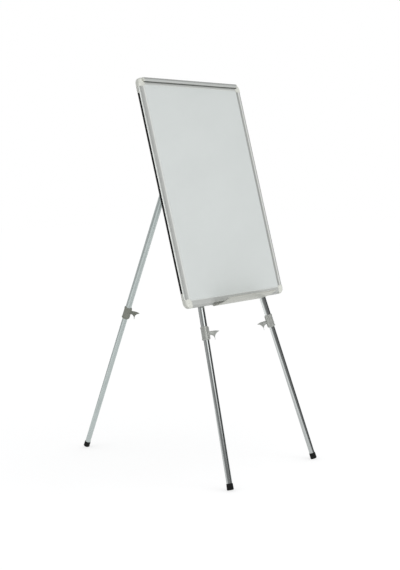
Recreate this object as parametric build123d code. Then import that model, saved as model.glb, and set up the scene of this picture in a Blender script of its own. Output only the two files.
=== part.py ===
from build123d import *
from math import asin, atan, cos, degrees, radians, sin, sqrt
import os

# Whiteboard easel: a framed steel writing board with a pad clamp and a pen tray, carried by a
# tripod of three telescopic legs. Millimetres, +Z up, +Y to the back, the writing face looks to -Y.
# Each piece of the board is drawn in the board's own frame: X to the right, Y from the front
# plane of the frame to the back, Z up the board from its lower edge.

# Board
board_width = 700.0
board_height = 1000.0
board_lift = 765.0
board_tilt = 12.5

# Frame rails
rail_face = 32.0
rail_depth = 19.0
rail_round = 8.0
rail_wall = 1.6
lip_depth = 3.0
lip_bevel = 5.0
lip_edge = 1.4
slot_bottom = 21.5
back_lip = 30.0
back_lip_wall = 1.6
groove_start = 9.6
groove_width = 8.0
groove_depth = 1.6
strip_proud = 0.3

# Writing panel
sheet_thickness = 0.6
core_thickness = 8.6
back_thickness = 0.4
panel_clearance = 0.5

# Corner caps
cap_face = 38.0
cap_round = 28.0
cap_front_round = 7.0
cap_tongue = 66.0
cap_spigot = 24.0
cap_inner_round = 4.0
cap_screw_inset = 12.0
cap_screw_reach = 50.0
spigot_clearance = 0.25

# Pad clamp
clamp_end_inset = 26.0
clamp_height = 17.5
clamp_top_gap = 1.0
clamp_nose = 9.0
clamp_top_depth = 4.5
clamp_facet = 8.5
clamp_wall = 1.6
clamp_back_gap = 0.6
clamp_back_drop = 4.0
clamp_back_bevel = 1.5
clamp_end_bevel = 1.2
clamp_rod_radius = 1.5
clamp_rod_depth = 3.6
clamp_rod_drop = 4.6
clamp_bracket_width = 6.0
clamp_end_gap = 0.5
jaw_height = 3.2
jaw_thickness = 4.4
jaw_gap = 0.3
spring_length = 18.0
spring_offset = 180.0
spring_wall = 1.1
spring_room = 0.5
rod_seat = 2.5

# Pen tray
tray_length = 336.0
tray_reach = 87.0
tray_rise = 17.0
tray_wall = 2.0
tray_bead_radius = 3.2
tray_root_width = 9.0
tray_root_height = 7.0
tray_root_wall = 1.5
tray_flange = 17.0
tray_screw_inset = 30.0

# Legs
upper_radius = 14.0
upper_wall = 1.1
lower_radius = 12.5
lower_wall = 1.1
leg_spread_top = 121.0
leg_spread_bottom = 221.0
leg_pivot_drop = 150.0
leg_pivot_depth = 60.0
leg_rail_gap = 0.4
rear_pivot_drop = 130.0
rear_pivot_depth = 60.0
rear_leg_angle = 25.3
front_tube_below_board = 106.7
rear_upper_length = 982.0
tube_start = 20.0
lower_overlap = 150.0
running_clearance = 0.05
fixed_clearance = 0.02

# Leg top fittings and pivots
eye_radius = 13.0
eye_thickness = 20.0
plug_length = 32.0
heel_height = 26.0
pivot_radius = 4.0
pivot_head_radius = 8.0
pivot_head_height = 3.4
nut_radius = 7.5
nut_height = 6.5
thread_showing = 3.0
washer_gap = 0.4
spacer_radius = 10.0
ear_thickness = 3.0
ear_gap = 0.5
ear_radius = 15.0
stop_pin_radius = 3.0
stop_pin_gap = 0.2
stop_pin_drop = 2.0
stop_pin_end = 1.0
rivet_inset = 10.0

# Head plate behind the board
plate_width = 300.0
plate_below_pivot = 35.0
plate_top_margin = 5.0
plate_thickness = 2.0
plate_corner = 14.0
plate_flange = 10.0
plate_screw_inset = 24.0
plate_screw_rise = 14.0
plate_middle_screw = 45.0
plate_screw_drop = 11.0
spacer_pad_radius = 11.0
bolt_room = 0.6
hinge_base_height = 64.0
hinge_base_flange = 18.0

# Clamp collars and wing screws
collar_radius = 16.6
collar_length = 58.0
collar_flange = 1.2
collar_seat = 20.0
collar_rib_width = 13.0
collar_rib_reach = 18.5
collar_rib_inset = 4.0
collar_top_band = 8.0
collar_bottom_band = 6.0
collar_top_bevel = 1.8
collar_bottom_bevel = 2.6
boss_radius = 9.0
boss_reach = 18.0
front_screw_drop = 31.5
rear_screw_drop = 24.0
screw_radius = 3.0
screw_tip_gap = 0.08
screw_in_knob = 14.0
knob_gap = 0.6
knob_thickness = 5.0
knob_hub_radius = 8.5
wing_reach = 42.0
wing_rise = 4.5
wing_waist = 26.0
wing_tail_reach = 20.5
wing_drop = 31.0
wing_edge = 1.5
wing_edge_round = 0.8
knob_hub_tip = 5.5
knob_hub_length = 18.0
front_left_screw_turn = -54.0
front_right_screw_turn = 126.0
rear_screw_turn = -40.0
front_left_wing_roll = 0.0
front_right_wing_roll = 0.0
rear_wing_roll = -50.0

# Bushes and feet
bush_plug = 22.0
bush_lip = 3.0
foot_radius = 14.0
foot_bottom_radius = 14.8
foot_height = 28.0
foot_sole = 9.0
foot_edge_round = 4.0
foot_wear = 1.0
foot_bevel = 1.2

# Leg catches on the bottom rail
catch_length = 20.0
catch_wall = 2.6
catch_clearance = 0.3
catch_height = 16.0
catch_lip = 5.0
catch_root = 8.0
catch_tab = 3.0
catch_tab_length = 16.0
catch_screw = 10.5

# Screws
screw_head_radius = 3.4
screw_head_height = 1.6
screw_head_top = 2.4

panel_front = lip_depth
panel_thickness = sheet_thickness + core_thickness + back_thickness
panel_back = panel_front + panel_thickness
panel_inset = slot_bottom + panel_clearance
half_width = board_width / 2
leg_pivot_height = board_height - leg_pivot_drop
rear_pivot_height = board_height - rear_pivot_drop
plate_bottom = leg_pivot_height - plate_below_pivot
clamp_half_length = half_width - clamp_end_inset
tube_depth_at_edge = rail_depth + upper_radius + leg_rail_gap
leg_lean = degrees(atan((leg_pivot_depth - tube_depth_at_edge) / leg_pivot_height))
leg_splay = degrees(atan((leg_spread_bottom - leg_spread_top) * cos(radians(leg_lean)) / leg_pivot_height))
pivot_to_edge = leg_pivot_height / cos(radians(leg_lean)) / cos(radians(leg_splay))
front_upper_length = pivot_to_edge + front_tube_below_board - tube_start
clamp_top = board_height - clamp_top_gap
clamp_bottom = clamp_top - clamp_height
clamp_shoulder = clamp_top - clamp_facet
clamp_rod_height = clamp_top - clamp_rod_drop
plate_back = rail_depth + plate_thickness

board_frame = Location((0, 0, board_lift), (-board_tilt, 0, 0))
parts = {}


def leg_down(frame):
    return (frame * Location((0, 0, -1))).position - frame.position


def leg_length(frame):
    # distance from the pivot down the leg's axis to the floor
    return frame.position.Z / -leg_down(frame).Z


def cylinder(radius, start, end):
    # cylinder on the local Z axis between two heights
    low = min(start, end)
    return Pos(0, 0, low) * Cylinder(radius, abs(end - start), align=(Align.CENTER, Align.CENTER, Align.MIN))


def block(x, y, z):
    # box between pairs of coordinates
    size = [b - a for a, b in (x, y, z)]
    return Pos(x[0], y[0], z[0]) * Box(*size, align=(Align.MIN, Align.MIN, Align.MIN))


def across(shape):
    # turns a shape drawn along Z so that it lies along X
    return Rot(0, 90, 0) * shape


def along_depth(shape):
    # turns a shape drawn along Z so that it lies along Y, its top to the back
    return Rot(-90, 0, 0) * shape


def behind(depth):
    # everything behind a depth of the board
    return block((-half_width, half_width), (depth, depth + half_width), (-half_width, board_height))


def extruded_x(face, start, end):
    # section drawn in (depth, height) carried from x = start to x = end
    return Pos(start, 0, 0) * extrude(Plane.YZ * face, end - start)


def outline(points):
    return make_face(Polyline(*points, close=True))


# Frame rails

def rail_section():
    # x from the outer edge inwards, y from the front plane to the back
    outer_low = groove_start + groove_width
    back_lip_end = panel_back + back_lip_wall
    with BuildSketch() as section:
        with BuildLine():
            Polyline((rail_round, 0), (rail_face - lip_bevel, 0), (rail_face, lip_edge),
                     (rail_face, lip_depth), (slot_bottom, lip_depth), (slot_bottom, panel_back),
                     (back_lip, panel_back), (back_lip, back_lip_end), (slot_bottom, back_lip_end),
                     (slot_bottom, rail_depth), (0, rail_depth), (0, outer_low), (groove_depth, outer_low),
                     (groove_depth, groove_start), (0, groove_start), (0, rail_round))
            RadiusArc((0, rail_round), (rail_round, 0), rail_round)
        make_face()
        with BuildLine():
            left = groove_depth + rail_wall
            Polyline((left, rail_round), (left, rail_depth - rail_wall),
                     (slot_bottom - rail_wall, rail_depth - rail_wall), (slot_bottom - rail_wall, rail_wall),
                     (rail_round, rail_wall))
            RadiusArc((left, rail_round), (rail_round, rail_wall), rail_round - rail_wall)
        make_face(mode=Mode.SUBTRACT)
    return section.sketch


def make_rails():
    section = rail_section()
    low, high = cap_face, board_height - cap_face
    upright = extrude(section, high - low)
    left = Pos(-half_width, 0, low) * upright
    parts["frame_rail_left"] = left
    parts["frame_rail_right"] = mirror(left, Plane.YZ)
    span = board_width - 2 * cap_face
    level = extrude(section, span)
    # lying rail: outer edge down, carried along X
    bottom = Pos(-span / 2, 0, 0) * (Rot(0, 90, 0) * (Rot(0, 0, 180) * mirror(level, Plane.XZ)))
    parts["frame_rail_bottom"] = bottom
    parts["frame_rail_top"] = Pos(0, 0, board_height) * mirror(bottom, Plane.XY)
    strip = block((-half_width - strip_proud, -half_width + groove_depth),
                  (groove_start, groove_start + groove_width), (cap_tongue, board_height - cap_tongue))
    parts["side_strip_left"] = strip
    parts["side_strip_right"] = mirror(strip, Plane.YZ)


# Writing panel

def make_panel():
    x = (-half_width + panel_inset, half_width - panel_inset)
    z = (panel_inset, board_height - panel_inset)
    depth = panel_front
    for name, thickness in (("writing_sheet", sheet_thickness), ("panel_core", core_thickness),
                            ("back_sheet", back_thickness)):
        parts[name] = block(x, (depth, depth + thickness), z)
        depth += thickness


# Corner caps

def corner_cap():
    # lower left corner, outer corner at the origin
    inner_end = rail_face + cap_inner_round
    with BuildSketch(Plane.XZ) as face:
        with BuildLine():
            Polyline((0, cap_round), (0, cap_face), (rail_face, cap_face), (rail_face, inner_end))
            RadiusArc((rail_face, inner_end), (inner_end, rail_face), -cap_inner_round)
            Polyline((inner_end, rail_face), (cap_face, rail_face), (cap_face, 0), (cap_round, 0))
            RadiusArc((cap_round, 0), (0, cap_round), cap_round)
        make_face()
    body = extrude(face.sketch, -rail_depth)
    outer = [e for e in body.edges().filter_by_position(Axis.Y, -0.01, 0.01)
             if e.center().X < rail_face - 1 and e.center().Z < rail_face - 1
             and min(e.center().X, e.center().Z) < cap_round / 2
             and max(e.bounding_box().max.X, e.bounding_box().max.Z) < cap_face + 0.01
             and not (abs(e.center().Z - cap_face) < 0.1 or abs(e.center().X - cap_face) < 0.1)]
    body = fillet(outer, cap_front_round)
    body -= block((slot_bottom, cap_face + 1), (lip_depth, panel_back), (slot_bottom, cap_face + 1))
    spigot_low = groove_depth + rail_wall + spigot_clearance
    spigot_high = slot_bottom - rail_wall - spigot_clearance
    spigot_y = (rail_round, rail_depth - rail_wall - spigot_clearance)
    spigot = block((spigot_low, spigot_high), spigot_y, (cap_face, cap_face + cap_spigot))
    tongue = block((0, groove_depth), (groove_start, groove_start + groove_width), (cap_face, cap_tongue))
    level_spigot = block((cap_face, cap_face + cap_spigot), spigot_y, (spigot_low, spigot_high))
    return body + spigot + tongue + level_spigot


def make_caps():
    cap = Pos(-half_width, 0, 0) * corner_cap()
    parts["corner_cap_bottom_left"] = cap
    parts["corner_cap_bottom_right"] = mirror(cap, Plane.YZ)
    upper = Pos(0, 0, board_height) * mirror(cap, Plane.XY)
    parts["corner_cap_top_left"] = upper
    parts["corner_cap_top_right"] = mirror(upper, Plane.YZ)
    places = [(side * (half_width - x), rail_depth, z if low else board_height - z)
              for side in (-1, 1) for low in (True, False)
              for x, z in ((cap_screw_inset, cap_screw_reach), (cap_screw_reach, cap_screw_inset))]
    parts["corner_cap_screws"] = [Pos(*place) * along_depth(screw_head()) for place in places]


def screw_head():
    # head seated on local z = 0, looking up
    return Pos(0, 0, screw_head_height / 2) * Cone(screw_head_radius, screw_head_top, screw_head_height)


# Pad clamp

def clamp_outline():
    # (depth, height) outline of the bar, its lower lip left open at the back for the jaw strip
    back = -clamp_back_gap
    return [(back, clamp_top - clamp_back_drop), (back - clamp_back_bevel, clamp_top),
            (-clamp_top_depth, clamp_top),
            (-clamp_nose, clamp_shoulder), (-clamp_nose, clamp_bottom), (back, clamp_bottom)]


def clamp_bar():
    length = clamp_half_length - clamp_bracket_width - clamp_end_gap
    back = -clamp_back_gap
    wall = clamp_wall
    front = -clamp_nose + wall
    shell = outline(clamp_outline())
    hollow = outline([(back + 1, clamp_top - clamp_rod_drop * 2 - 1), (front, clamp_shoulder),
                      (front, clamp_bottom + wall), (back + 1, clamp_bottom + wall)])
    rod_room = Pos(-clamp_rod_depth, clamp_rod_height) * Circle(clamp_rod_radius + running_clearance)
    bar = extruded_x(shell - hollow - rod_room, -length, length)
    reach = clamp_rod_radius + spring_wall + spring_room
    half = spring_length / 2 + 1
    for x in (-spring_offset, spring_offset):
        bar -= Pos(x, -clamp_rod_depth, clamp_rod_height) * across(cylinder(reach, -half, half))
        bar -= block((x - half, x + half), (-clamp_rod_depth, 1), (clamp_rod_height - reach, clamp_top + 1))
    return bar


def make_clamp():
    parts["clamp_bar"] = clamp_bar()
    length = clamp_half_length - clamp_bracket_width - clamp_end_gap
    parts["clamp_jaw_strip"] = block((-length, length), (-jaw_gap - jaw_thickness, -jaw_gap),
                                     (clamp_bottom - jaw_height, clamp_bottom))
    bracket_face = outline([(0, clamp_bottom), (0, clamp_top - rail_round + 1)] + clamp_outline()[1:-1])
    end = -clamp_half_length
    bracket = extruded_x(bracket_face, end, end + clamp_bracket_width)
    outer_edges = bracket.edges().filter_by_position(Axis.X, end - 0.1, end + 0.1)
    bracket = chamfer([e for e in outer_edges if e.center().Y < -1], clamp_end_bevel)
    rod_hole = across(cylinder(clamp_rod_radius + fixed_clearance, end + rod_seat, -end))
    bracket -= Pos(0, -clamp_rod_depth, clamp_rod_height) * rod_hole
    parts["clamp_bracket_left"] = bracket
    parts["clamp_bracket_right"] = mirror(bracket, Plane.YZ)
    rod = across(cylinder(clamp_rod_radius, end + rod_seat, -end - rod_seat))
    parts["clamp_rod"] = Pos(0, -clamp_rod_depth, clamp_rod_height) * rod
    coil = cylinder(clamp_rod_radius + spring_wall, -spring_length / 2, spring_length / 2)
    coil -= cylinder(clamp_rod_radius + fixed_clearance, -spring_length / 2, spring_length / 2)
    parts["clamp_springs"] = [Pos(side * spring_offset, -clamp_rod_depth, clamp_rod_height) * across(coil)
                              for side in (-1, 1)]


# Pen tray

def tray_section():
    # (depth, height) in the board's frame, root channel under the bottom rail
    floor_line = -tray_root_height
    radius = (tray_reach ** 2 + tray_rise ** 2) / (2 * tray_rise)
    swing = asin(tray_reach / radius)
    tip = (-tray_reach, floor_line + tray_rise)
    middle = (-radius * sin(swing / 2), floor_line + radius - radius * cos(swing / 2))
    inner = radius - tray_wall
    inner_tip = (-inner * sin(swing), floor_line + radius - inner * cos(swing))
    inner_middle = (-inner * sin(swing / 2), floor_line + radius - inner * cos(swing / 2))
    with BuildSketch() as section:
        with BuildLine():
            ThreePointArc((0, floor_line), middle, tip)
            Line(tip, inner_tip)
            ThreePointArc(inner_tip, inner_middle, (0, floor_line + tray_wall))
            Line((0, floor_line + tray_wall), (0, floor_line))
        make_face()
        with Locations(((tip[0] + inner_tip[0]) / 2, (tip[1] + inner_tip[1]) / 2 + 1.0)):
            Circle(tray_bead_radius)
        with Locations((tray_root_width / 2, -tray_root_height / 2)):
            Rectangle(tray_root_width, tray_root_height)
            Rectangle(tray_root_width - 2 * tray_root_wall, tray_root_height - 2 * tray_root_wall,
                      mode=Mode.SUBTRACT)
        with Locations(((tray_root_width + tray_flange) / 2, -tray_wall / 2)):
            Rectangle(tray_flange - tray_root_width, tray_wall)
    return section.sketch


def make_tray():
    parts["pen_tray"] = extruded_x(tray_section(), -tray_length / 2, tray_length / 2)
    depth = (tray_root_width + tray_flange) / 2
    spacing = tray_length / 2 - tray_screw_inset
    parts["pen_tray_screws"] = [Pos(x, depth, -tray_wall) * (Rot(180, 0, 0) * screw_head())
                                for x in (-spacing, 0, spacing)]


# Head plate and hinge bracket

def rear_frame():
    pivot = (board_frame * Location((0, rear_pivot_depth, rear_pivot_height))).position
    return Location(pivot) * Location((0, 0, 0), (rear_leg_angle, 0, 0))


def front_frame(side):
    pivot = Location((side * leg_spread_top, leg_pivot_depth, leg_pivot_height), (-leg_lean, 0, 0))
    return board_frame * pivot * Location((0, 0, 0), (0, -side * leg_splay, 0))


def swing_frame(side):
    # at the pivot, Y along the pivot bolt, in the board's frame
    return Location((side * leg_spread_top, leg_pivot_depth, leg_pivot_height), (-leg_lean, 0, 0))


def make_head_plate():
    top = board_height - plate_top_margin
    half = plate_width / 2
    face = Rectangle(plate_width, top - plate_bottom)
    face = fillet(face.vertices(), plate_corner)
    plate = extrude(Plane.XZ * face, -plate_thickness)
    plate = Pos(0, rail_depth, (top + plate_bottom) / 2) * plate
    for side in (-1, 1):
        plate -= swing_frame(side) * along_depth(cylinder(pivot_radius + bolt_room, -leg_pivot_depth, 0))
        flange = block((half - plate_thickness, half), (rail_depth, rail_depth + plate_flange),
                       (plate_bottom + plate_corner, top - plate_corner))
        plate += flange if side > 0 else mirror(flange, Plane.YZ)
    parts["head_plate"] = plate
    pad = along_depth(cylinder(spacer_pad_radius, 0, rail_depth - panel_back))
    low = plate_bottom + plate_screw_rise
    high = board_height - plate_screw_drop
    end = half - plate_screw_inset
    parts["head_plate_spacers"] = [Pos(x, panel_back, low) * pad for x in (-end, end)]
    places = [(x, low) for x in (-end, end)]
    places += [(x, high) for x in (-end, -plate_middle_screw, plate_middle_screw, end)]
    parts["head_plate_screws"] = [Pos(x, plate_back, z) * along_depth(screw_head()) for x, z in places]


def make_rear_hinge():
    inner = eye_thickness / 2 + ear_gap
    outer = inner + ear_thickness
    low = rear_pivot_height - hinge_base_height / 2
    high = rear_pivot_height + hinge_base_height / 2
    base = block((-outer - hinge_base_flange, outer + hinge_base_flange),
                 (plate_back, plate_back + ear_thickness), (low, high))
    with BuildSketch(Plane.YZ) as ear_face:
        with BuildLine():
            Polyline((rear_pivot_depth, rear_pivot_height + ear_radius), (plate_back, high),
                     (plate_back, low), (rear_pivot_depth, rear_pivot_height - ear_radius))
            ThreePointArc((rear_pivot_depth, rear_pivot_height - ear_radius),
                          (rear_pivot_depth + ear_radius, rear_pivot_height),
                          (rear_pivot_depth, rear_pivot_height + ear_radius))
        make_face()
    bracket = base
    for side in (-1, 1):
        start = inner if side > 0 else -outer
        bracket += Pos(start, 0, 0) * extrude(ear_face.sketch, ear_thickness)
    bolt_hole = across(cylinder(pivot_radius + fixed_clearance, -outer - 5, outer + 5))
    bracket -= Pos(0, rear_pivot_depth, rear_pivot_height) * bolt_hole
    pin_place = board_frame.inverse() * rear_frame() * Location(
        (0, -eye_radius - stop_pin_radius - stop_pin_gap, heel_height - stop_pin_radius - stop_pin_drop))
    pin_point = pin_place.position
    pin_hole = across(cylinder(stop_pin_radius + fixed_clearance, -outer - 5, outer + 5))
    bracket -= Pos(0, pin_point.Y, pin_point.Z) * pin_hole
    parts["rear_hinge_bracket"] = bracket
    pin = across(cylinder(stop_pin_radius, -outer - stop_pin_end, outer + stop_pin_end))
    parts["rear_stop_pin"] = Pos(0, pin_point.Y, pin_point.Z) * pin
    bolt = cylinder(pivot_radius, -outer, outer + nut_height + thread_showing)
    bolt += cylinder(pivot_head_radius, -outer - pivot_head_height, -outer)
    parts["rear_pivot_bolt"] = Pos(0, rear_pivot_depth, rear_pivot_height) * across(bolt)
    rivet = along_depth(screw_head())
    parts["hinge_rivets"] = [Pos(x, plate_back + ear_thickness, z) * rivet
                             for x in (-outer - hinge_base_flange / 2, outer + hinge_base_flange / 2)
                             for z in (low + rivet_inset, high - rivet_inset)]
    return Pos(outer, rear_pivot_depth, rear_pivot_height) * across(nut())


def nut():
    # hexagonal nut seated on local z = 0, looking up
    shape = extrude(RegularPolygon(nut_radius, 6), nut_height)
    return shape - cylinder(pivot_radius + fixed_clearance, -1, nut_height + 1)


def make_front_pivots():
    bolts, spacers, nuts = [], [], []
    reach = leg_pivot_depth - plate_back
    for side in (-1, 1):
        frame = swing_frame(side)
        nut_start = eye_thickness / 2 + washer_gap
        head_top = -reach - plate_thickness - washer_gap
        shank = cylinder(pivot_radius, head_top, nut_start + nut_height + thread_showing)
        head = cylinder(pivot_head_radius, head_top - pivot_head_height, head_top)
        bolts.append(frame * along_depth(shank + head))
        spacer = cylinder(spacer_radius, -reach - 5, -eye_thickness / 2 - washer_gap)
        spacer -= cylinder(pivot_radius + fixed_clearance, -reach - 6, 0)
        spacers.append((frame * along_depth(spacer)) & behind(plate_back))
        nuts.append(frame * along_depth(Pos(0, 0, nut_start) * nut()))
    parts["front_pivot_bolts"] = bolts
    parts["pivot_spacers"] = spacers
    return nuts


# Leg catches on the back of the bottom rail

def make_catches():
    # a channel clip that the front leg swings out of towards the middle of the board
    screws = []
    for side, name in ((-1, "leg_catch_left"), (1, "leg_catch_right")):
        along = (leg_pivot_height - catch_height) / cos(radians(leg_lean))
        frame = swing_frame(side) * Location((0, 0, 0), (0, -side * leg_splay, 0)) * Location((0, 0, -along))
        gap = upper_radius + catch_clearance
        root = -gap - catch_wall - catch_root
        z = (-catch_length / 2, catch_length / 2)
        jaw = block((0, gap + catch_wall), (root, gap + catch_wall), z)
        jaw += block((-catch_lip, 0), (root, -gap), z)
        jaw += block((-catch_lip, 0), (gap, gap + catch_wall), z)
        jaw -= cylinder(gap, -catch_length, catch_length)
        jaw -= block((-2 * catch_lip, 0), (-gap, gap), (-catch_length, catch_length))
        if side < 0:
            jaw = mirror(jaw, Plane.YZ)
        clip = frame * jaw
        foot_x = side * (abs(frame.position.X) + gap)
        x = sorted((foot_x, foot_x + side * catch_tab_length))
        clip += block(x, (rail_depth, rail_depth + catch_tab),
                      (catch_height - catch_length / 2, catch_height + catch_length / 2))
        parts[name] = clip & behind(rail_depth)
        screw_place = Pos(foot_x + side * catch_screw, rail_depth + catch_tab, catch_height)
        screws.append(screw_place * along_depth(screw_head()))
    parts["leg_catch_screws"] = screws


# Legs: drawn in the leg's frame, pivot at the origin, the leg runs down -Z

def top_fitting(front):
    # plug in the tube's end with an eye on the pivot; a front eye turns about Y, the rear one about X
    eye = cylinder(eye_radius, -eye_thickness / 2, eye_thickness / 2)
    hole = cylinder(pivot_radius + running_clearance, -eye_thickness, eye_thickness)
    turn = (lambda s: along_depth(s)) if front else across
    tongue = block((-eye_radius, eye_radius), (-eye_thickness / 2, eye_thickness / 2), (-tube_start, 0))
    if not front:
        tongue = Rot(0, 0, 90) * tongue
        tongue += block((-eye_thickness / 2, eye_thickness / 2), (-eye_radius, eye_radius / 2),
                        (0, heel_height))
    fitting = turn(eye) + tongue
    fitting += cylinder(upper_radius - upper_wall - fixed_clearance, -tube_start - plug_length, -tube_start)
    return fitting - turn(hole)


def collar(top, turn, screw_drop):
    # clamp collar on the lower end of the upper tube, top of the collar at local z = top
    bottom = top - collar_length
    body = cylinder(collar_radius, bottom, top)
    body += cylinder(collar_radius + collar_flange, top - collar_top_band, top)
    body += cylinder(collar_radius + collar_flange, bottom, bottom + collar_bottom_band)
    body += block((0, collar_rib_reach), (-collar_rib_width / 2, collar_rib_width / 2),
                  (bottom + collar_rib_inset, top - collar_rib_inset))
    body = chamfer(body.edges().filter_by(GeomType.CIRCLE).group_by(Axis.Z)[-1], collar_top_bevel)
    body = chamfer(body.edges().filter_by(GeomType.CIRCLE).group_by(Axis.Z)[0], collar_bottom_bevel)
    screw_line = Pos(0, 0, top - screw_drop)
    body += screw_line * across(cylinder(boss_radius, 0, boss_reach))
    body -= cylinder(upper_radius + fixed_clearance, top - collar_seat, top + 1)
    body -= cylinder(lower_radius + running_clearance, bottom - 1, top)
    body -= screw_line * across(cylinder(screw_radius + running_clearance, 0, boss_reach + 5))
    return Rot(0, 0, turn) * body


def knob():
    # asymmetric wing on a hub; x runs out along the screw from the boss, z up the leg
    root = knob_hub_radius
    tail = wing_tail_reach
    with BuildSketch(Plane.XZ) as wing:
        with BuildLine():
            Polyline((0, -root), (0, root), (wing_waist, root - 0.5), (wing_reach - 1, wing_rise),
                     (wing_reach, wing_rise - wing_edge))
            ThreePointArc((wing_reach, wing_rise - wing_edge), (tail + root - wing_edge, 3 - root),
                          (tail, -wing_drop))
            Line((tail, -wing_drop), (tail - 2, -wing_drop))
            ThreePointArc((tail - 2, -wing_drop), (tail - 6, 2 - 2 * root), (root - wing_edge, -root))
            Line((root - wing_edge, -root), (0, -root))
        make_face()
    plate = extrude(wing.sketch, knob_thickness / 2, both=True)
    plate = fillet(plate.edges().filter_by(Axis.Y), wing_edge_round)
    hub = across(Pos(0, 0, knob_hub_length / 2) * Cone(knob_hub_radius, knob_hub_tip, knob_hub_length))
    stud_room = across(cylinder(screw_radius + fixed_clearance, -1, screw_in_knob))
    return plate + hub - stud_room


def foot_rise(frame):
    # how far up the leg the foot's square end lies, so that its rounded rim is worn flat on the floor
    upward = -leg_down(frame).Z
    aside = sqrt(1 - upward ** 2)
    rim = foot_bottom_radius - foot_edge_round
    return (rim * aside + foot_edge_round * (1 - upward) - foot_wear) / upward


def foot_rest(frame):
    # middle of the worn flat, straight under the rim's rounding on the side where the end dips
    down = leg_down(frame)
    rim = foot_bottom_radius - foot_edge_round
    dip = (Vector(0, 0, -1) - down * -down.Z).normalized()
    end = frame.position + down * (leg_length(frame) - foot_rise(frame) - foot_edge_round)
    rest = end + dip * rim
    return Vector(rest.X, rest.Y, 0)


def leg(name, frame, upper_length, turn, roll, front):
    length = leg_length(frame)
    upper_end = -tube_start - upper_length
    screw_drop = front_screw_drop if front else rear_screw_drop
    collar_top = upper_end + collar_seat
    lower_top = upper_end + lower_overlap
    tube = cylinder(upper_radius, upper_end, -tube_start)
    tube -= cylinder(upper_radius - upper_wall, upper_end - 1, 1)
    parts[name + "_upper_tube"] = frame * tube
    parts[name + "_top_fitting"] = frame * top_fitting(front)
    parts[name + "_clamp_collar"] = frame * collar(collar_top, turn, screw_drop)

    foot_end = -length + foot_rise(frame)
    lower_end = foot_end + foot_sole
    lower = cylinder(lower_radius, lower_end, lower_top)
    lower -= cylinder(lower_radius - lower_wall, lower_end - 1, lower_top + 1)
    parts[name + "_lower_tube"] = frame * lower
    bush = cylinder(upper_radius - upper_wall - running_clearance, lower_top, lower_top + bush_lip)
    bush += cylinder(lower_radius - lower_wall - fixed_clearance, lower_top - bush_plug, lower_top)
    parts[name + "_slide_bush"] = frame * bush

    cap = Cone(foot_bottom_radius, foot_radius, foot_height, align=(Align.CENTER, Align.CENTER, Align.MIN))
    cap = fillet(cap.edges().filter_by(GeomType.CIRCLE).sort_by(Axis.Z)[0], foot_edge_round)
    cap = chamfer(cap.edges().filter_by(GeomType.CIRCLE).sort_by(Axis.Z)[-1], foot_bevel)
    cap = Pos(0, 0, foot_end) * cap
    cap -= cylinder(lower_radius + fixed_clearance, lower_end, 0)
    cap = frame * cap
    base = cap.bounding_box().center()
    below = 4 * foot_bottom_radius
    cap -= Pos(base.X, base.Y, -below / 2) * Box(below, below, below)
    parts[name + "_foot"] = cap

    screw_place = frame * Location((0, 0, collar_top - screw_drop)) * Location((0, 0, 0), (0, 0, turn))
    knob_start = boss_reach + knob_gap
    stud_end = knob_start + screw_in_knob - knob_gap
    stud = across(cylinder(screw_radius, lower_radius + screw_tip_gap, stud_end))
    parts[name + "_clamp_screw"] = screw_place * stud
    parts[name + "_wing_knob"] = screw_place * Pos(knob_start, 0, 0) * Rot(roll, 0, 0) * knob()
    return screw_place, length


def as_node(shape):
    # a group of like pieces stays separate solids in one node
    if isinstance(shape, list):
        return Compound(children=[s.solid() for s in shape])
    solids = shape.solids()
    return solids[0] if len(solids) == 1 else Compound(children=list(solids))


def print_point(label, place):
    print(label, [round(v / 1000, 6) for v in (place.X, place.Y, place.Z)])


make_rails()
make_panel()
make_caps()
make_clamp()
make_tray()
make_head_plate()
rear_nut = make_rear_hinge()
front_nuts = make_front_pivots()
parts["pivot_nuts"] = front_nuts + [rear_nut]
make_catches()
on_board = list(parts)
for node in on_board:
    shape = parts[node]
    parts[node] = [board_frame * s for s in shape] if isinstance(shape, list) else board_frame * shape

frames = {"front_left": front_frame(-1), "front_right": front_frame(1), "rear": rear_frame()}
turns = {"front_left": front_left_screw_turn, "front_right": front_right_screw_turn, "rear": rear_screw_turn}
rolls = {"front_left": front_left_wing_roll, "front_right": front_right_wing_roll, "rear": rear_wing_roll}
screws = {}
lengths = {}
for name, frame in frames.items():
    front = name != "rear"
    upper = front_upper_length if front else rear_upper_length
    screws[name], lengths[name] = leg(name, frame, upper, turns[name], rolls[name], front)
    print(name, "leg length", round(lengths[name], 2))

# the origin lies on the floor, midway between the foremost and the rearmost edge of the feet
foremost = min(parts[n + "_foot"].bounding_box().min.Y for n in ("front_left", "front_right"))
rearmost = parts["rear_foot"].bounding_box().max.Y
centred = Pos(0, -(foremost + rearmost) / 2, 0)

for name, frame in frames.items():
    print_point(name + " pivot", (centred * frame).position)
    print(name, "down the leg", [round(v, 7) for v in leg_down(frame)])
    print_point(name + " foot rest", (centred * Location(foot_rest(frame))).position)
    print_point(name + " screw", (centred * screws[name]).position)
    out = (screws[name] * Location((1, 0, 0))).position - screws[name].position
    print(name, "screw axis", [round(v, 7) for v in out])
pivot = board_frame * swing_frame(1)
swing_axis = (pivot * Location((0, 1, 0))).position - pivot.position
print("swing axis", [round(v, 7) for v in swing_axis])
print_point("clamp rod", (centred * board_frame * Location((0, -clamp_rod_depth, clamp_rod_height))).position)
print("board shift", round((foremost + rearmost) / 2, 4))
print("leg lean", round(leg_lean, 4), "leg splay", round(leg_splay, 4))

os.makedirs("parts", exist_ok=True)
for node, shape in parts.items():
    solid = as_node(shape)
    export_step(centred * solid, "parts/" + node + ".step")
print(len(parts), "nodes")
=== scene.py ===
from math import cos, radians, sin

import bpy
from mathutils import Matrix, Vector

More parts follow.
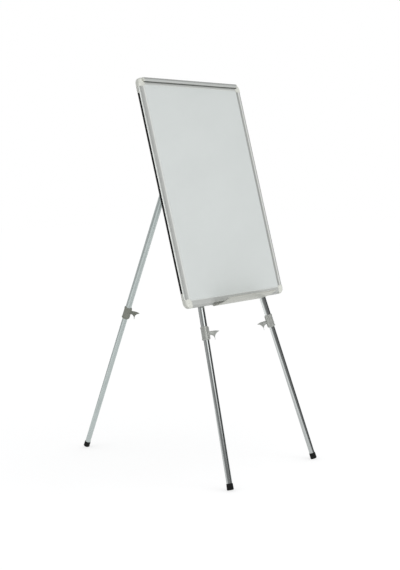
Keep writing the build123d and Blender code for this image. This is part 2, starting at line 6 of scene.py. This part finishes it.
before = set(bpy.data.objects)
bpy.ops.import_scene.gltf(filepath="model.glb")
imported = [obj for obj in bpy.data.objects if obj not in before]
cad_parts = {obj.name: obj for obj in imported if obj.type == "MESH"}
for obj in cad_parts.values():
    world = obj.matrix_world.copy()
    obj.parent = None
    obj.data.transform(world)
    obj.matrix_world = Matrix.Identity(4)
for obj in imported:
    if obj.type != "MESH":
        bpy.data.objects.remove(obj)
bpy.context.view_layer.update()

# The board's lower front edge lies this far in front of the origin, in metres
front_shift = 0.4203144

# Camera, from a fit of the model's edges to the photograph
camera_place = Vector((-3.955463, -3.07713 - front_shift, 1.255825))
camera_heading = 53.216
camera_pitch = 5.495
camera_roll = -2.255
focal_pixels = 1137.898
centre_x, centre_y = 260.0, 297.426
frame_width, frame_height = 400, 570
sensor = 36.0

# Angles in degrees: the board leans back, and the front legs lean a little more
board_tilt = 12.5
leg_lean = 1.792
leg_splay = 6.7064
rear_leg_angle = 25.3

# The board's outer size and the height of its lower edge, in metres
board_width, board_height, board_lift = 0.7, 1.0, 0.765

# Turns that bring a piece's length to Z, and the board's own turn
board_turn = (radians(board_tilt), 0.0, 0.0)
along_x = (0.0, radians(90.0), 0.0)

white = (1.0, 1.0, 1.0, 1.0)

# Painted light across the rails: distance from the outer edge in metres, and brightness.
# Bright stops are painted highlights on the roundings and lips, dim stops are painted shade;
# the left and right rails get different painted light on the same metal.
# The side rails' first two stops blacken their outer faces round the black strips.
left_painted_light = ((0.0, 0.02), (0.00005, 0.02), (0.00012, 1.0), (0.003, 1.0), (0.0055, 0.62),
              (0.011, 0.54), (0.014, 0.6), (0.02, 0.62), (0.025, 0.9), (0.032, 0.92))
right_painted_light = ((0.0, 0.02), (0.00005, 0.02), (0.00012, 0.36), (0.008, 0.4), (0.012, 0.5),
               (0.015, 0.86), (0.021, 0.9), (0.024, 0.46), (0.032, 0.46))
level_painted_light = ((0.0, 0.52), (0.006, 0.56), (0.01, 0.64), (0.0285, 0.62), (0.031, 0.88), (0.032, 0.88))
clamp_painted_light = ((-0.002, 0.5), (0.006, 0.45), (0.0085, 0.45), (0.011, 0.7), (0.017, 0.7))

# The room that shiny surfaces reflect: bearing in degrees from the front, and brightness
room_heading = 53.2
high_walls = ((-180, 0.5), (-150, 0.5), (-60, 0.5), (-12, 0.42), (11, 0.42), (15, 1.5), (42, 1.5),
              (48, 0.1), (70, 0.04), (126, 0.04), (138, 0.7), (160, 0.7), (180, 0.5))
low_walls = ((-180, 0.45), (-90, 0.52), (-50, 0.3), (-30, 0.22), (0, 0.2), (20, 0.14), (38, 0.14),
             (52, 0.26), (64, 0.1), (85, 0.06), (126, 0.05), (140, 0.6), (160, 0.6), (180, 0.4))
# The low walls give way to the high ones between these slopes of the ray
wall_blend = (0.26, 0.4)
# The floor that they reflect: distance from the middle in metres, and brightness
floor_rings = ((0.0, 0.62), (0.9, 0.66), (1.5, 0.95), (2.4, 0.95), (3.6, 0.34), (4.0, 0.28))
# Red, green and blue of every grey in these rows of tones
grey_cast = (0.98, 1.0, 0.99)

# Light that falls on the easel
sky_color = (0.98, 0.99, 1.0, 1.0)
sky_strength = 0.66
lamp_target = (0.0, 0.0, 1.2)
side_place, side_size, side_power = (-3.6, -3.4, 2.6), (1.6, 2.2), 16.0
key_place, key_size, key_power = (0.3, -4.6, 2.0), (2.5, 2.5), 62.0

# Floor: half its width, and the faint shade by how much of the sky each spot sees
floor_reach = 30.0
floor_grey = (0.8, 0.8, 0.8, 1.0)
shadow_grey = (0.25, 0.25, 0.25, 1.0)
shade_distance = 3.0
shade_samples = 8
open_sky_range = (0.82, 0.93)
glow_range = (0.74, 0.84)

# Range that a noise texture's values mostly keep to
noise_range = (0.3, 0.7)

# Colour sockets of Blender's Mix node
mix_first, mix_second, mix_result = 6, 7, 2


def make_camera():
    heading, pitch, roll = (radians(v) for v in (camera_heading, camera_pitch, camera_roll))
    forward = Vector((sin(heading) * cos(pitch), cos(heading) * cos(pitch), -sin(pitch)))
    right = Vector((cos(heading), -sin(heading), 0.0))
    up = right.cross(forward)
    # the picture turns clockwise by the roll, so the camera turns the other way
    turned_right = right * cos(roll) + up * sin(roll)
    turned_up = up * cos(roll) - right * sin(roll)
    data = bpy.data.cameras.new("camera")
    data.sensor_width = sensor
    data.lens = focal_pixels * sensor / frame_height
    data.shift_x = (frame_width / 2 - centre_x) / frame_height
    data.shift_y = (centre_y - frame_height / 2) / frame_height
    camera = bpy.data.objects.new("camera", data)
    bpy.context.scene.collection.objects.link(camera)
    basis = Matrix((turned_right, turned_up, -forward)).transposed()
    camera.matrix_world = Matrix.Translation(camera_place) @ basis.to_4x4()
    bpy.context.scene.camera = camera


# Material helpers

def srgb(r, g, b):
    # colour as read on a screen, 0 to 255, to linear, by the sRGB standard's own numbers
    out = []
    for v in (r, g, b):
        v = v / 255
        out.append(v / 12.92 if v <= 0.04045 else ((v + 0.055) / 1.055) ** 2.4)
    return (*out, 1.0)


def new_material(name, color, metallic, roughness):
    mat = bpy.data.materials.new(name)
    mat.use_nodes = True
    surface = mat.node_tree.nodes["Principled BSDF"]
    surface.inputs["Base Color"].default_value = color
    surface.inputs["Metallic"].default_value = metallic
    surface.inputs["Roughness"].default_value = roughness
    return mat, mat.node_tree, surface


def add(tree, kind, **values):
    node = tree.nodes.new(kind)
    for key, value in values.items():
        if key in node.inputs.keys():
            node.inputs[key].default_value = value
        else:
            setattr(node, key, value)
    return node


def turned_place(tree, turn):
    # object coordinates turned so that Z runs along the piece
    place = add(tree, "ShaderNodeTexCoord")
    turned = add(tree, "ShaderNodeMapping", vector_type="POINT", Rotation=turn)
    tree.links.new(place.outputs["Object"], turned.inputs["Vector"])
    return turned.outputs["Vector"]


def coordinates(tree, scale, turn=(0.0, 0.0, 0.0)):
    scaled = add(tree, "ShaderNodeMapping", vector_type="POINT", Scale=scale)
    tree.links.new(turned_place(tree, turn), scaled.inputs["Vector"])
    return scaled.outputs["Vector"]


def noise(tree, vector, detail=3.0):
    node = add(tree, "ShaderNodeTexNoise", Scale=1.0, Detail=detail, Roughness=0.55)
    tree.links.new(vector, node.inputs["Vector"])
    return node.outputs["Fac"]


def blend_colors(tree, factor, low, high, start=0.35, end=0.65):
    ramp = add(tree, "ShaderNodeValToRGB")
    ramp.color_ramp.elements[0].position = start
    ramp.color_ramp.elements[0].color = low
    ramp.color_ramp.elements[1].position = end
    ramp.color_ramp.elements[1].color = high
    tree.links.new(factor, ramp.inputs["Fac"])
    return ramp.outputs["Color"]


def map_range(tree, value, source, target=(0.0, 1.0), interpolation="LINEAR"):
    node = add(tree, "ShaderNodeMapRange", interpolation_type=interpolation)
    for key, number in zip(("From Min", "From Max", "To Min", "To Max"), (*source, *target)):
        node.inputs[key].default_value = number
    tree.links.new(value, node.inputs["Value"])
    return node.outputs["Result"]


def level_ramp(tree, value, stops):
    # grey level by value, from (value, level) pairs
    low, high = stops[0][0], stops[-1][0]
    ramp = add(tree, "ShaderNodeValToRGB")
    elements = ramp.color_ramp.elements
    elements.remove(elements[1])
    for index, (at, level) in enumerate(stops):
        position = (at - low) / (high - low)
        stop = elements[0] if index == 0 else elements.new(position)
        stop.position = position
        stop.color = (*(level * part for part in grey_cast), 1.0)
    tree.links.new(map_range(tree, value, (low, high)), ramp.inputs["Fac"])
    return ramp.outputs["Color"]


def calculate(tree, operation, *terms):
    # each term is a number or another node's output
    node = add(tree, "ShaderNodeMath", operation=operation)
    for slot, term in enumerate(terms):
        if isinstance(term, bpy.types.NodeSocket):
            tree.links.new(term, node.inputs[slot])
        else:
            node.inputs[slot].default_value = term
    return node.outputs["Value"]


def mix_shaders(tree, factor, off, on):
    node = add(tree, "ShaderNodeMixShader")
    tree.links.new(factor, node.inputs["Fac"])
    tree.links.new(off, node.inputs[1])
    tree.links.new(on, node.inputs[2])
    return node.outputs[0]


def bump(tree, surface, height, strength, distance):
    node = add(tree, "ShaderNodeBump", Strength=strength, Distance=distance)
    tree.links.new(height, node.inputs["Height"])
    tree.links.new(node.outputs["Normal"], surface.inputs["Normal"])


def tint(color, factor):
    return (*(min(1.0, v * factor) for v in color[:3]), 1.0)


def vary(tree, surface, factor, tones, gloss):
    # colour and roughness between two values each, by one noise
    tree.links.new(blend_colors(tree, factor, *tones), surface.inputs["Base Color"])
    tree.links.new(map_range(tree, factor, noise_range, gloss), surface.inputs["Roughness"])


# Materials: a grain's scale is in waves per metre, with Z along the piece

def grained(name, color, metallic, roughness, scale, turn=(0.0, 0.0, 0.0), spread=0.06,
            rough_spread=0.06, depth=0.0001, strength=0.25, detail=3.0):
    # a surface whose colour, gloss and height follow one grain
    mat, tree, surface = new_material(name, color, metallic, roughness)
    grain = noise(tree, coordinates(tree, scale, turn), detail=detail)
    tones = (tint(color, 1 - spread), tint(color, 1 + spread))
    vary(tree, surface, grain, tones, (roughness - rough_spread, roughness + rough_spread))
    bump(tree, surface, grain, strength, depth)
    return mat


def writing_lacquer():
    # white lacquer with faint cloudy marks from wiping and a very fine orange peel
    color = srgb(214, 218, 216)
    mat, tree, surface = new_material("writing_lacquer", color, 0.0, 0.38)
    surface.inputs["Specular IOR Level"].default_value = 0.2
    wipe_turn = (radians(board_tilt), 0.4, 0.0)
    wipes = noise(tree, coordinates(tree, (3.0, 3.0, 5.0), wipe_turn), detail=4.0)
    vary(tree, surface, wipes, (tint(color, 0.985), tint(color, 1.012)), (0.34, 0.42))
    peel = noise(tree, coordinates(tree, (900.0, 900.0, 900.0)), detail=2.0)
    bump(tree, surface, peel, strength=0.12, distance=0.00004)
    return mat


def brushed(name, color, turn, roughness, metallic=0.5):
    # metal drawn or brushed along the piece
    return grained(name, color, metallic, roughness, (700.0, 700.0, 5.0), turn, spread=0.04,
                   rough_spread=0.07, depth=0.00003, strength=0.3, detail=4.0)


def rail_with_painted_light(name, turn, axis, middle, half, painted_stops):
    # brushed rail with painted highlights and painted shade across its rounding, face and lip
    mat = brushed(name, srgb(250, 250, 247), turn, roughness=0.45, metallic=0.2)
    tree = mat.node_tree
    surface = tree.nodes["Principled BSDF"]
    parts = add(tree, "ShaderNodeSeparateXYZ")
    tree.links.new(turned_place(tree, board_turn), parts.inputs["Vector"])
    from_middle = calculate(tree, "ABSOLUTE", calculate(tree, "SUBTRACT", parts.outputs[axis], middle))
    from_edge = calculate(tree, "SUBTRACT", half, from_middle)
    mix = add(tree, "ShaderNodeMix", data_type="RGBA", blend_type="MULTIPLY")
    mix.inputs["Factor"].default_value = 1.0
    tree.links.new(surface.inputs["Base Color"].links[0].from_socket, mix.inputs[mix_first])
    # the rows of stops paint highlights and shade onto the brushed colour
    tree.links.new(level_ramp(tree, from_edge, painted_stops), mix.inputs[mix_second])
    tree.links.new(mix.outputs[mix_result], surface.inputs["Base Color"])
    return mat


def chrome(name, color, turn, roughness=0.1, metallic=1.0):
    # bright plated tube with fine drawing lines and soft smudges
    mat, tree, surface = new_material(name, color, metallic, roughness)
    lines = noise(tree, coordinates(tree, (500.0, 500.0, 3.0), turn), detail=4.0)
    smudges = noise(tree, coordinates(tree, (35.0, 35.0, 12.0), turn), detail=4.0)
    tones = (tint(color, 0.94), tint(color, 1.03))
    vary(tree, surface, smudges, tones, (roughness - 0.04, roughness + 0.06))
    bump(tree, surface, lines, strength=0.15, distance=0.00002)
    return mat


def moulded(name, color, roughness, metallic=0.0):
    # moulded plastic with a fine spark-eroded texture and a faint cloudiness
    mat, tree, surface = new_material(name, color, metallic, roughness)
    texture = noise(tree, coordinates(tree, (1800.0, 1800.0, 1800.0)), detail=3.0)
    clouds = noise(tree, coordinates(tree, (60.0, 60.0, 60.0)), detail=4.0)
    tones = (tint(color, 0.95), tint(color, 1.04))
    vary(tree, surface, clouds, tones, (roughness - 0.06, roughness + 0.08))
    bump(tree, surface, texture, strength=0.35, distance=0.00008)
    return mat


def galvanised():
    # zinc spangle: patches of slightly different grey
    color = (0.56, 0.58, 0.59, 1.0)
    mat, tree, surface = new_material("galvanised_sheet", color, 0.8, 0.42)
    cells = add(tree, "ShaderNodeTexVoronoi", Scale=1.0)
    tree.links.new(coordinates(tree, (90.0, 90.0, 70.0), board_turn), cells.inputs["Vector"])
    patch = add(tree, "ShaderNodeRGBToBW")
    tree.links.new(cells.outputs["Color"], patch.inputs["Color"])
    # the patches' values spread wider than a noise does
    tones = (tint(color, 0.86), tint(color, 1.08), 0.2, 0.8)
    vary(tree, surface, patch.outputs["Val"], tones, (0.34, 0.5))
    bump(tree, surface, cells.outputs["Distance"], strength=0.08, distance=0.0001)
    return mat


def make_materials():
    tilt = radians(board_tilt)
    board_middle = board_height / 2 + board_lift * cos(tilt) - front_shift * sin(tilt)
    half_width, half_height = board_width / 2, board_height / 2
    lean = radians(board_tilt + leg_lean)
    splay = radians(leg_splay)
    front_chrome = (0.74, 0.76, 0.76, 1.0)
    return {
        "writing": writing_lacquer(),
        # the rails and the clamp bar carry painted highlights and painted shade across their width
        "rail_left": rail_with_painted_light("rail_left", board_turn, "X", 0.0, half_width, left_painted_light),
        "rail_right": rail_with_painted_light("rail_right", board_turn, "X", 0.0, half_width, right_painted_light),
        "rail_level": rail_with_painted_light("rail_level", along_x, "Z", board_middle, half_height, level_painted_light),
        "clamp": rail_with_painted_light("clamp_bar", along_x, "Z", board_middle, half_height, clamp_painted_light),
        "tray": brushed("pen_tray", srgb(214, 214, 206), along_x, 0.38),
        "strip": grained("black_strip", srgb(16, 16, 16), 0.0, 0.8, (900.0, 900.0, 20.0), board_turn,
                         spread=0.08),
        "cap": moulded("corner_cap", srgb(221, 222, 214), 0.46),
        "core": grained("fibre_core", (0.36, 0.25, 0.15, 1.0), 0.0, 0.85, (260.0, 900.0, 260.0),
                        board_turn, spread=0.25),
        "back": galvanised(),
        "plated": grained("zinc_plated", (0.58, 0.58, 0.56, 1.0), 0.9, 0.3, (400.0, 400.0, 400.0),
                          spread=0.08),
        "painted": grained("painted_steel", srgb(176, 178, 176), 0.0, 0.42, (700.0, 700.0, 700.0),
                           spread=0.03),
        "collar": moulded("collar_plastic", srgb(196, 198, 193), 0.3, metallic=0.5),
        # a darker copy of the collar plastic for the rear fittings: painted shade from the board above
        # them
        "rear_collar": moulded("rear_collar_plastic", srgb(152, 154, 144), 0.42, metallic=0.2),
        "bush": moulded("bush_nylon", srgb(225, 224, 216), 0.5),
        "rubber": grained("black_rubber", srgb(14, 14, 14), 0.0, 0.8, (1200.0, 1200.0, 1200.0),
                          spread=0.25, depth=0.0002, strength=0.5),
        "jaw": grained("jaw_rubber", srgb(98, 100, 96), 0.0, 0.7, (900.0, 900.0, 900.0), spread=0.1),
        "front_left": chrome("front_left_tube", front_chrome, (lean, splay, 0.0)),
        "front_right": chrome("front_right_tube", front_chrome, (lean, -splay, 0.0)),
        "rear": chrome("rear_tube", (0.69, 0.75, 0.74, 1.0), (-radians(rear_leg_angle), 0.0, 0.0),
                       roughness=0.24, metallic=0.6),
    }


def material_for(node):
    if node.startswith("frame_rail"):
        return node.replace("frame_", "") if node.endswith(("left", "right")) else "rail_level"
    if node.endswith("_tube"):
        return node.replace("_upper_tube", "").replace("_lower_tube", "")
    exact = {"writing_sheet": "writing", "panel_core": "core", "back_sheet": "back",
             "clamp_bar": "clamp", "clamp_jaw_strip": "jaw", "pen_tray": "tray",
             "head_plate": "painted", "rear_hinge_bracket": "painted",
             "head_plate_spacers": "collar", "pivot_spacers": "collar",
             "leg_catch_left": "collar", "leg_catch_right": "collar",
             "clamp_bracket_left": "cap", "clamp_bracket_right": "cap"}
    if node in exact:
        return exact[node]
    if node.startswith("corner_cap_") and not node.endswith("screws"):
        return "cap"
    if node.startswith("side_strip"):
        return "strip"
    endings = {"foot": "rubber", "slide_bush": "bush", "clamp_collar": "collar", "wing_knob": "collar",
               "top_fitting": "collar"}
    for ending, name in endings.items():
        if node.endswith(ending):
            # the rear leg's fittings take the darker copy of the plastic, as painted shade
            return "rear_collar" if name == "collar" and node.startswith("rear") else name
    return "plated"


def dress_nodes(materials):
    for name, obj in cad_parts.items():
        obj.data.materials.clear()
        obj.data.materials.append(materials[material_for(name)])


# Studio

def make_floor():
    mesh = bpy.data.meshes.new("floor")
    far = floor_reach
    corners = [(-far, -far, 0), (far, -far, 0), (far, far, 0), (-far, far, 0)]
    mesh.from_pydata(corners, [], [(0, 1, 2, 3)])
    floor = bpy.data.objects.new("floor", mesh)
    bpy.context.scene.collection.objects.link(floor)
    mat = bpy.data.materials.new("floor_white")
    mat.use_nodes = True
    tree = mat.node_tree
    tree.nodes.clear()
    out = add(tree, "ShaderNodeOutputMaterial")
    # the camera sees a white floor with the easel's soft shade on it
    open_sky = add(tree, "ShaderNodeAmbientOcclusion", samples=shade_samples, Distance=shade_distance)
    glow = add(tree, "ShaderNodeEmission", Color=white)
    brightness = map_range(tree, open_sky.outputs["AO"], open_sky_range, glow_range)
    tree.links.new(brightness, glow.inputs["Strength"])
    shadowed = add(tree, "ShaderNodeBsdfDiffuse", Color=shadow_grey)
    seen = add(tree, "ShaderNodeAddShader")
    tree.links.new(shadowed.outputs[0], seen.inputs[0])
    tree.links.new(glow.outputs[0], seen.inputs[1])
    # shiny parts see a white floor around the easel and a dimmer one further off
    place = add(tree, "ShaderNodeTexCoord")
    distance = add(tree, "ShaderNodeVectorMath", operation="LENGTH")
    tree.links.new(place.outputs["Object"], distance.inputs[0])
    mirrored = add(tree, "ShaderNodeEmission", Strength=1.0)
    tree.links.new(level_ramp(tree, distance.outputs["Value"], floor_rings), mirrored.inputs["Color"])
    matte = add(tree, "ShaderNodeBsdfDiffuse", Color=floor_grey)
    path = add(tree, "ShaderNodeLightPath")
    unseen = mix_shaders(tree, path.outputs["Is Glossy Ray"], matte.outputs[0], mirrored.outputs[0])
    surface = mix_shaders(tree, path.outputs["Is Camera Ray"], unseen, seen.outputs[0])
    tree.links.new(surface, out.inputs["Surface"])
    mesh.materials.append(mat)


def make_world():
    world = bpy.data.worlds.new("studio")
    bpy.context.scene.world = world
    world.use_nodes = True
    tree = world.node_tree
    tree.nodes.clear()
    out = add(tree, "ShaderNodeOutputWorld")
    # in a world, generated coordinates are the ray's direction
    place = add(tree, "ShaderNodeTexCoord")
    heading = radians(room_heading)
    ahead = add(tree, "ShaderNodeVectorMath", operation="DOT_PRODUCT")
    ahead.inputs[1].default_value = (-sin(heading), -cos(heading), 0.0)
    aside = add(tree, "ShaderNodeVectorMath", operation="DOT_PRODUCT")
    aside.inputs[1].default_value = (cos(heading), -sin(heading), 0.0)
    for part in (ahead, aside):
        tree.links.new(place.outputs["Generated"], part.inputs[0])
    bearing = calculate(tree, "ARCTAN2", aside.outputs["Value"], ahead.outputs["Value"])
    degrees = calculate(tree, "DEGREES", bearing)
    height = add(tree, "ShaderNodeSeparateXYZ")
    tree.links.new(place.outputs["Generated"], height.inputs["Vector"])
    upward = map_range(tree, height.outputs["Z"], wall_blend, interpolation="SMOOTHSTEP")
    room = add(tree, "ShaderNodeMix", data_type="RGBA")
    tree.links.new(upward, room.inputs["Factor"])
    tree.links.new(level_ramp(tree, degrees, low_walls), room.inputs[mix_first])
    tree.links.new(level_ramp(tree, degrees, high_walls), room.inputs[mix_second])
    reflected = add(tree, "ShaderNodeBackground", Strength=1.0)
    tree.links.new(room.outputs[mix_result], reflected.inputs["Color"])
    soft = add(tree, "ShaderNodeBackground", Color=sky_color, Strength=sky_strength)
    seen = add(tree, "ShaderNodeBackground", Color=white, Strength=1.0)
    path = add(tree, "ShaderNodeLightPath")
    unseen = mix_shaders(tree, path.outputs["Is Glossy Ray"], soft.outputs[0], reflected.outputs[0])
    surface = mix_shaders(tree, path.outputs["Is Camera Ray"], unseen, seen.outputs[0])
    tree.links.new(surface, out.inputs["Surface"])


def area_light(name, place, size, power):
    data = bpy.data.lights.new(name, "AREA")
    data.shape = "RECTANGLE"
    data.size, data.size_y = size
    data.energy = power
    lamp = bpy.data.objects.new(name, data)
    bpy.context.scene.collection.objects.link(lamp)
    # mirror-bright parts show the room alone, not the lamp
    lamp.visible_glossy = False
    lamp.location = place
    lamp.rotation_mode = "QUATERNION"
    lamp.rotation_quaternion = (Vector(lamp_target) - Vector(place)).to_track_quat("-Z", "Y")


make_camera()
dress_nodes(make_materials())
make_floor()
make_world()
area_light("side", side_place, side_size, side_power)
area_light("key", key_place, key_size, key_power)

bpy.context.scene.view_settings.view_transform = "Standard"
